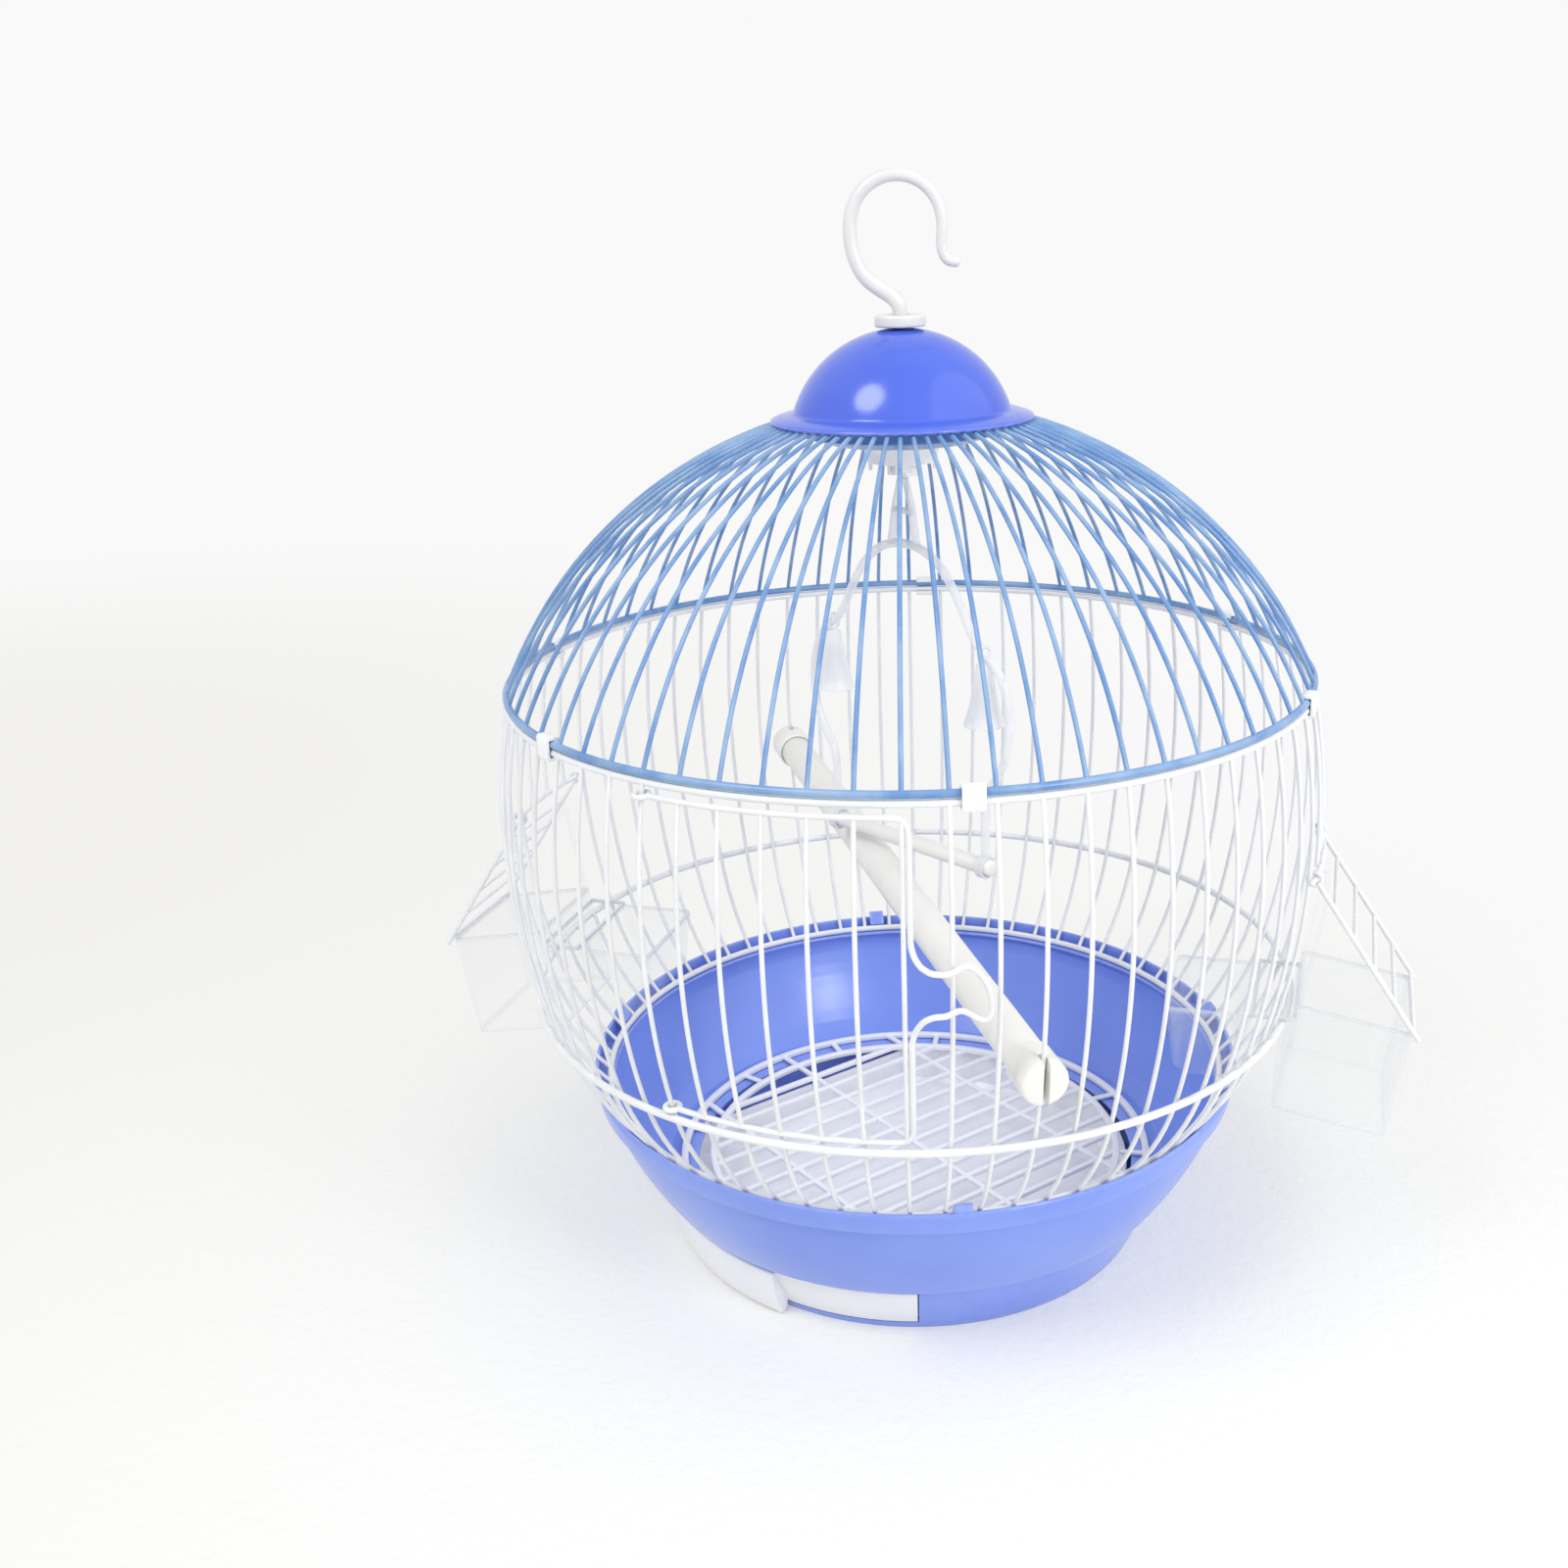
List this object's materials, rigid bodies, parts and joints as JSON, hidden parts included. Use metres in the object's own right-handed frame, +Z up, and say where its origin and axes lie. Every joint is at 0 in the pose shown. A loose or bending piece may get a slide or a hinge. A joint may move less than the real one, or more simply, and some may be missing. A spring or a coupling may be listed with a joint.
{
  "type": "round parrot cage",
  "caption": "Round wire bird cage with a domed top, plastic base with litter drawer, hinged door, feeder cups behind wire flaps, perch, swing and hanging hook.",
  "frame": {"origin": "centre of the base's foot, on the floor", "axes": "+Z up along the cage's axis, -Y towards the viewer of the picture, +X to the right"},
  "size_m": [0.4308, 0.3474, 0.4493],
  "materials": {
    "blue_plastic_base": "glossy",
    "white_plastic_tray": "satin",
    "white_plastic_grate": "satin",
    "white_coated_wire": "satin coating",
    "blue_coated_wire": "satin coating",
    "white_plastic_clip": "satin",
    "blue_plastic_cap": "glossy",
    "dark_blue_plastic": "glossy",
    "white_plastic_retainer": "satin",
    "white_plastic_hook": "satin",
    "clear_plastic": "clear",
    "cream_plastic": "satin",
    "frosted_plastic": "satin"
  },
  "bodies": {
    "cage": {"base_bowl": "blue_plastic_base", "floor_grate": "white_plastic_grate", "lower_wire_frame": "white_coated_wire", "middle_hoop": "white_coated_wire", "dome_wire_frame": "blue_coated_wire", "ring_clip_1": "white_plastic_clip", "ring_clip_2": "white_plastic_clip", "ring_clip_3": "white_plastic_clip", "ring_clip_4": "white_plastic_clip", "ring_clip_5": "white_plastic_clip", "ring_clip_6": "white_plastic_clip", "dome_cap": "blue_plastic_cap", "cap_plate": "dark_blue_plastic", "cap_retainer": "white_plastic_retainer", "swing_pin": "white_plastic_retainer", "hook_collar": "white_plastic_hook", "feeder_cup_right": "clear_plastic", "feeder_cup_left": "clear_plastic", "perch_tube": "cream_plastic", "perch_end_cap_near": "cream_plastic", "perch_end_cap_far": "cream_plastic"},
    "hook": {"hanging_hook": "white_plastic_hook"},
    "door": {"wire_door": "white_coated_wire"},
    "flap_right": {"feeder_flap_right": "white_coated_wire"},
    "flap_left": {"feeder_flap_left": "white_coated_wire"},
    "drawer": {"drawer_tray": "white_plastic_tray"},
    "swing": {"swing_frame": "frosted_plastic", "swing_perch_bar": "cream_plastic"},
    "bell_right": {"swing_bell_right": "frosted_plastic"},
    "bell_left": {"swing_bell_left": "frosted_plastic"}
  },
  "joints": [
    {"name": "hook_swivel", "type": "hinge", "parent": "cage", "child": "hook", "pos_m": [0, 0, 0.39196], "axis": [0, 0, 1], "continuous": true},
    {"name": "door_hinge", "type": "hinge", "parent": "cage", "child": "door", "pos_m": [-0.08925, -0.1347, 0.1215], "axis": [0.0223, 0.0337, -0.9992], "range_deg": [0, 130]},
    {"name": "feeder_flap_right_hinge", "type": "hinge", "parent": "cage", "child": "flap_right", "pos_m": [0.16503, -0.04249, 0.183], "axis": [-0.2493, -0.9684, 0], "range_deg": [0, 115]},
    {"name": "feeder_flap_left_hinge", "type": "hinge", "parent": "cage", "child": "flap_left", "pos_m": [-0.16503, 0.04249, 0.183], "axis": [0.2493, 0.9684, 0], "range_deg": [0, 115]},
    {"name": "drawer_slide", "type": "slide", "parent": "cage", "child": "drawer", "axis": [-0.788, -0.6157, 0], "range_m": [0, 0.2]},
    {"name": "swing_pivot", "type": "hinge", "parent": "cage", "child": "swing", "pos_m": [0, 0, 0.33596], "axis": [0.7071, -0.7071, 0], "range_deg": [-25, 25]},
    {"name": "bell_right_hang", "type": "hinge", "parent": "swing", "child": "bell_right", "pos_m": [0.03112, -0.03112, 0.26546], "axis": [0.7071, -0.7071, 0], "range_deg": [-15, 15]},
    {"name": "bell_left_hang", "type": "hinge", "parent": "swing", "child": "bell_left", "pos_m": [-0.03112, 0.03112, 0.26546], "axis": [0.7071, -0.7071, 0], "range_deg": [-15, 15]}
  ]
}
